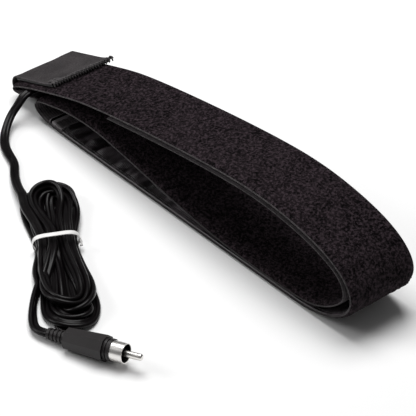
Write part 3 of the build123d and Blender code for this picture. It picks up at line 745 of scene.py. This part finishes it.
def thickened(line, normals, factor):
    """The same line with factor times as many places."""
    old, new = np.arange(len(line)), np.linspace(0, len(line) - 1, (len(line) - 1) * factor + 1)
    return (np.stack([np.interp(new, old, line[:, k]) for k in range(2)], axis=1),
            np.stack([np.interp(new, old, normals[:, k]) for k in range(2)], axis=1))


hem_seam, hem_normals = thickened(seam[hem_first:hem_last + 1], seam_normals[hem_first:hem_last + 1], 6)
hem_across = tape_middle + np.concatenate([[-18.2, -17.9], np.linspace(-17, 17, 18), [17.9, 18.2]])
share = np.linspace(0, 1, len(hem_seam))
hem_profile = np.interp(share, [0, 0.02, 0.05, 0.56, 0.62, 0.76, 0.79, 0.80, 0.88, 0.89, 0.92, 0.98, 1],
                        [-0.9, -1.4, -1.5, -1.45, -1.55, -1.9, -1.8, -0.1, -0.1, -1.9, -2.1, -1.9, -0.3])
ribs = np.sin(share * 10 * 2 * math.pi)
hem_profile -= np.where((share > 0.05) & (share < 0.54), np.maximum(ribs, 0) * 0.4, 0)
hem_edge = np.minimum(hem_across - hem_across[0], hem_across[-1] - hem_across)
hem_low = np.interp(hem_edge, [0, 0.3, 1.2], [0.6, 0.15, 0.0])
ripple = soft_noise(rng, len(hem_seam), len(hem_across), 30, 3) * 0.08
spots, faces = strip_mesh(hem_seam, hem_normals, hem_across, hem_low, np.full(len(hem_across), -0.04),
                          extra_low=np.minimum(hem_profile[:, None] + ripple, -0.15))
strip_nylon, shader, spot = new_finish("hem_nylon", {"Roughness": 0.42, "Specular IOR Level": 0.35})
satin = spot.bands("X", 0.0016, 0.6)
sheen = satin * 0.5 + spot.noise(0.004, 2.0) * 0.5
sheen.blend((0.09, 0.083, 0.087, 1), (0.24, 0.222, 0.231, 1)).feed(shader, "Base Color")
satin.bump(0.0001, 0.6).feed(shader, "Normal")
# Painted shade: a near-black finish put on the gap under the strip's fold, the grooves between its ribs and the tab's
# free end face, where shade falls.
fold_shade, shader, spot = new_finish("painted_shade", {"Roughness": 0.9, "Specular IOR Level": 0.05})
spot.noise(0.002, 2.0).blend((0.001, 0.001, 0.001, 1), (0.003, 0.003, 0.003, 1)).feed(shader, "Base Color")
hem = add_piece("end_strip", spots, faces, strip_nylon)
hem.data.materials.append(fold_shade)
# Painted shade: the faces in the gap under the fold and in the grooves between the ribs get the near-black finish.
for polygon in hem.data.polygons:
    rows = [v // len(hem_across) % len(hem_seam) for v in polygon.vertices]
    gap_shaded = all(0.78 < share[row] < 0.93 for row in rows)
    grooves_shaded = all(share[row] < 0.54 and ribs[row] < -0.3 for row in rows)
    polygon.material_index = int(gap_shaded or grooves_shaded)
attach(hem, "strap")
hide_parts("cover_hem")

places, alongs, ups = [], [], []
for row in range(5):
    i = int(round((0.125 + row / 10) * (len(hem_seam) - 1)))
    for k in range(11):
        x, z = hem_seam[i] - hem_normals[i] * 1.84
        places.append((x, tape_middle + (k - 5) * 3.2 + 0.5 * (row % 2), z))
        alongs.append((0, 1, 0))
        ups.append((-hem_normals[i][0], 0, -hem_normals[i][1]))
hem_rows = sew(stitch, "end_strip_rows", stitch_places(places, alongs, ups, 2.8, 0.32, 0.16), thread)
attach(hem_rows, "strap")
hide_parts("hem_stitching")

# ---- Hook tab ---------------------------------------------------------------------------------------------------
# A length of woven hook tape. Its first part is sewn under the folded end of the band, it goes round the
# end, and its free part lies on the pile, which its hooks hold. The free edge is overcast with thread.

tab_front, tab_rear = -17.35, 18.9
tab_reach = 32.2


def drawn_out(y):
    """How far the thread has pulled the free edge out towards its rear corner, in millimetres."""
    return 1.8 * max(0.0, (y - 12.9) / 6.0) ** 2


# s runs along the band's top run from its left corner, and n square to it.
hinge_s = 1.222
tab_low_n, tab_high_n = -6.1, 3.2
turn_n = (tab_low_n + tab_high_n) / 2
turn_radius = (tab_high_n - tab_low_n) / 2
tab_line = [(hinge_s + 13.0 - 0.6 * k, tab_low_n) for k in range(22)]
tab_line += [(hinge_s - turn_radius * math.sin(math.radians(a)), turn_n - turn_radius * math.cos(math.radians(a)))
             for a in range(6, 180, 6)]
tab_line += [(hinge_s + 0.62 * k, tab_high_n + 0.75 * max(0, (k - 30) / 25) ** 2)
             for k in range(1, int(tab_reach / 0.62) + 1)]
tab_line = np.array([tab_corner + run_direction * s + run_normal * n for s, n in tab_line])
tab_normals = -left_normals(tab_line)
tab_across = np.concatenate([[tab_front, tab_front + 0.3], np.linspace(tab_front + 0.9, tab_rear - 0.9, 36),
                             [tab_rear - 0.3, tab_rear]])
tab_edge = np.minimum(tab_across - tab_front, tab_rear - tab_across)
outer_face = np.interp(tab_edge, [0, 0.3, 0.9, 1.6], [0.15, 0.44, 0.5, 0.42])
sag = soft_noise(rng, len(tab_line), len(tab_across), 16, 10) * 0.08
spots, faces = strip_mesh(tab_line, tab_normals, tab_across, -outer_face * 0.8, outer_face, sag, sag)
# The free end is pulled out to a point at its rear corner.
half_count = len(tab_line) * len(tab_across)
for number in range(len(spots)):
    row, column = divmod(number % half_count, len(tab_across))
    outward = drawn_out(tab_across[column]) * max(0.0, (row - len(tab_line) + 11) / 10) ** 2
    spots[number] += np.array([run_direction[0], 0.12, run_direction[1] + 0.45]) * outward * MM
webbing, shader, spot = new_finish("tab_weave", {"Roughness": 0.78, "Specular IOR Level": 0.15})
warp = spot.bands("Y", 0.0026, 0.5, 1.0)
cross = spot.bands("X", 0.0018, 0.6, 1.0)
dust = spot.noise(0.0009, 4.0, 0.6).spread(0.3, 0.7)
wear = spot.noise(0.012, 3.0).spread(0.3, 0.7)
worn = warp * cross * 0.35 + dust * 0.5 + wear * 0.35 - 0.1
worn.blend((0.006, 0.005, 0.0055, 1), (0.058, 0.051, 0.053, 1)).feed(shader, "Base Color")
(warp * cross * 0.6 + dust * 0.5).bump(0.00018, 0.7).feed(shader, "Normal")
tab = add_piece("woven_tab", spots, [face[::-1] for face in faces], webbing)
tab.data.materials.append(selvedge)
tab.data.materials.append(fold_shade)
face_middles = np.zeros(len(tab.data.polygons) * 3)
tab.data.polygons.foreach_get("center", face_middles)
face_middles = face_middles.reshape(-1, 3) / MM
on_edge = (face_middles[:, 1] < tab_front + 0.7) | (face_middles[:, 1] > tab_rear - 0.4)
along_tab = (face_middles[:, [0, 2]] - tab_corner) @ run_direction
above_tab = (face_middles[:, [0, 2]] - tab_corner) @ run_normal
# Painted shade: the free end's face gets the near-black finish, as the shade under the edge, so the wound threads show
# as teeth against it.
end_shaded = (along_tab > hinge_s + tab_reach - 0.7) & (above_tab < tab_high_n + 0.9) & (above_tab > 0)
tab.data.polygons.foreach_set("material_index", np.where(end_shaded, 2, on_edge).astype(np.int32))
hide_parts("tab_anchor", "tab_fold", "tab_backing")
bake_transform(tab)

# ---- Stitches and hooks of the tab --------------------------------------------------------------------------------
# Thick thread is wound over the free edge about every 1.6 mm, and a close zigzag holds the front corner.
# Under the tab lies a thin nylon tape with rows of small bent hooks moulded on it.


def tab_place(s, y, n):
    x, z = tab_corner + run_direction * s + run_normal * n
    return (x, y, z)


wound_stitches = 23
places, alongs, ups = [], [], []
for k in range(wound_stitches):
    y = tab_front + 0.7 + k * 1.58
    end_s = hinge_s + tab_reach + drawn_out(y)
    places.append(tab_place(end_s + 0.1, y, 4.3 + 0.45 * drawn_out(y)))
    alongs.append((run_direction[0], 0.25 + 0.1 * (k % 3), run_direction[1] - 0.22))
    ups.append((run_normal[0], 0, run_normal[1]))
wound = stitch_places(places, alongs, ups, 2.6, 0.95, 0.6)
low_places = [tab_place(hinge_s + tab_reach + 0.6 + drawn_out(y), y, 3.25 + 0.45 * drawn_out(y))
              for _, y, _ in places]
wound += stitch_places(low_places, [(-run_normal[0] + 0.1, 0.15, -run_normal[1])] * wound_stitches,
                       [(run_direction[0], 0, run_direction[1])] * wound_stitches, 1.9, 0.75, 0.5)
edging_thread, shader, spot = new_finish("edging_thread", {"Roughness": 0.7, "Specular IOR Level": 0.2})
strands = spot.noise(0.0008, 2.0).spread(0.3, 0.7)
strands.blend((0.022, 0.020, 0.021, 1), (0.105, 0.098, 0.10, 1)).feed(shader, "Base Color")
spot.noise(0.0004, 3.0).bump(0.0001, 0.8).feed(shader, "Normal")
edging = sew(stitch, "edge_thread", wound, edging_thread)
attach(edging, "hook_tab")
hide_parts("tab_edging")

places, alongs, ups = [], [], []
for k in range(26):
    row, step = divmod(k, 13)
    places.append(tab_place(27.8 + step * 0.44, -14.8 + row * 3.0 + 0.5 * math.sin(k * 2.1),
                            3.95 + 0.012 * step ** 1.5))
    alongs.append((run_direction[0] * 0.6, 2.0 * (1 if k % 2 else -1), run_direction[1] * 0.6))
    ups.append((run_normal[0], 0, run_normal[1]))
tack = sew(stitch, "corner_zigzag", stitch_places(places, alongs, ups, 2.9, 0.4, 0.35), edging_thread)
bpy.data.objects.remove(stitch)
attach(tack, "hook_tab")
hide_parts("corner_tack")

hooks_finish, shader, spot = new_finish("hook_nylon", {"Roughness": 0.4, "Specular IOR Level": 0.3})
spot.noise(0.001, 2.0).blend((0.006, 0.0058, 0.006, 1), (0.02, 0.0195, 0.02, 1)).feed(shader, "Base Color")
tape_line = np.array([tab_corner + run_direction * (hinge_s + 0.6 + 0.62 * k)
                      + run_normal * (2.3 + 0.75 * max(0, (k - 30) / 25) ** 2) for k in range(51)])
hook_across = np.linspace(tab_front + 0.3, tab_rear - 0.3, 24)
spots, faces = strip_mesh(tape_line, left_normals(tape_line), hook_across, np.full(24, -0.42), np.full(24, 0.42))
hook_tape = add_piece("hook_tape", spots, faces, hooks_finish)
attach(hook_tape, "hook_tab")
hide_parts("tab_hooks")

# One hook, a unit to the millimetre: a short square stem, drawn down and then round to a blunt tip.
hook = start_solid(bpy.ops.mesh.primitive_cube_add, size=1, scale=(0.22, 0.32, 0.45), location=(0, 0, 2.08))
choose(hook, lambda middle, normal: normal.z < -0.9)
for turn, step in ((35, (0.07, 0, -0.26)), (50, (0.22, 0, -0.08)), (50, (0.16, 0, 0.14))):
    bpy.ops.mesh.extrude_region_move(TRANSFORM_OT_translate={"value": step})
    tip = bmesh.from_edit_mesh(hook.data)
    middle = sum((v.co for v in tip.verts if v.select), Vector()) / 4
    bpy.ops.transform.rotate(value=math.radians(turn), orient_axis="Y", center_override=middle)
bpy.ops.transform.resize(value=(0.7, 0.7, 0.7))
bpy.ops.object.mode_set(mode="OBJECT")
tab_turn = Matrix(((run_direction[0], 0, run_normal[0]), (0, 1, 0), (run_direction[1], 0, run_normal[1]))).to_4x4()
hook_places = []
for column in range(19):
    for row in range(22):
        spot = tab_place(4.2 + column * 1.42 + 0.3 * (row % 2), -15.9 + row * 1.55, 0)
        half_turn = Matrix.Rotation(math.pi if (row // 2) % 2 else 0, 4, "Z")
        hook_places.append(Matrix.Translation(Vector(spot) * MM) @ tab_turn @ half_turn @ Matrix.Scale(MM, 4))
hook_rows = sew(hook, "hook_rows", hook_places, hooks_finish)
bpy.data.objects.remove(hook)
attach(hook_rows, "hook_tab")

# ---- Phono plug ---------------------------------------------------------------------------------------------------
# A moulded grip with flat sides and a ribbed strain relief, a plain collar, and a nickel-plated shell
# round a black insulator and a nickel pin. It lies on its grip's rear rim with its nose slightly up.

moulding, shader, spot = new_finish("plug_pvc", {"Specular IOR Level": 0.32})
spot.noise(0.006, 2.0).blend((0.007, 0.0056, 0.006, 1), (0.013, 0.0105, 0.011, 1)).feed(shader, "Base Color")
(spot.noise(0.004, 3.0) * 0.12 + 0.38).feed(shader, "Roughness")
spot.noise(0.0006, 3.0).bump(0.00005, 0.5).feed(shader, "Normal")
nickel, shader, spot = new_finish("bright_nickel", {"Metallic": 1.0})
spot.noise(0.004, 2.0).blend((0.74, 0.72, 0.69, 1), (0.84, 0.82, 0.79, 1)).feed(shader, "Base Color")
(spot.noise(0.003, 3.0) * 0.12 + 0.24).feed(shader, "Roughness")
shell_nickel, shader, spot = new_finish("shell_nickel", {"Metallic": 1.0})
plug_direction = (Vector(tail_points[-1]) - Vector(tail_points[-2])).normalized()
from_axis = spot.node("ShaderNodeVectorMath", {"operation": "SUBTRACT"}, {0: spot, 1: Vector(tail_points[-1]) * MM})
from_axis = from_axis.node("ShaderNodeVectorMath", {"operation": "CROSS_PRODUCT"}, {0: from_axis, 1: plug_direction})
from_axis = from_axis.node("ShaderNodeVectorMath", {"operation": "LENGTH"}, {0: from_axis}, output="Value")
# Painted shade: the shell's inside, within about 4.1 mm of the plug's axis, is painted near black as the shade in its
# mouth; outside it, the colour varies with the polish noise.
polish = spot.noise(0.004, 2.0) * 0.1 + 0.75
polish_and_inner_shade = polish * from_axis.spread(0.0041, 0.0044, 0.06, 1.0)
polish_and_inner_shade.blend((0, 0, 0, 1), (0.98, 0.96, 0.93, 1)).feed(shader, "Base Color")
(spot.noise(0.003, 3.0) * 0.12 + 0.24).feed(shader, "Roughness")
disc, shader, spot = new_finish("insulating_disc", {"Roughness": 0.35})
spot.noise(0.002, 2.0).blend((0.008, 0.008, 0.008, 1), (0.014, 0.014, 0.014, 1)).feed(shader, "Base Color")
copper, shader, spot = new_finish("bare_copper", {"Metallic": 1.0, "Roughness": 0.35})
spot.noise(0.001, 2.0).blend((0.6, 0.28, 0.15, 1), (0.75, 0.4, 0.24, 1)).feed(shader, "Base Color")
tinned, shader, spot = new_finish("tinned_copper", {"Metallic": 1.0, "Roughness": 0.3})
spot.noise(0.001, 2.0).blend((0.55, 0.54, 0.52, 1), (0.68, 0.67, 0.65, 1)).feed(shader, "Base Color")
film, shader, spot = new_finish("carrier_film", {"Roughness": 0.5})
spot.noise(0.01, 2.0).blend((0.55, 0.5, 0.42, 1), (0.65, 0.6, 0.5, 1)).feed(shader, "Base Color")

for node, finish in (("plug_relief", moulding), ("plug_grip", moulding), ("plug_collar", moulding),
                     ("plug_shell", shell_nickel), ("plug_pin", nickel), ("plug_insulator", disc),
                     ("plug_terminals", tinned), ("plug_cores", copper), ("lead_cores", copper),
                     ("splice_crimps", tinned), ("splice_sleeves", jacket), ("lead_end", jacket),
                     ("carrier_strip", film), ("heater_wire", tinned), ("pocket_stitching", thread)):
    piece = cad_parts[node]
    piece.data.materials.clear()
    piece.data.materials.append(finish)
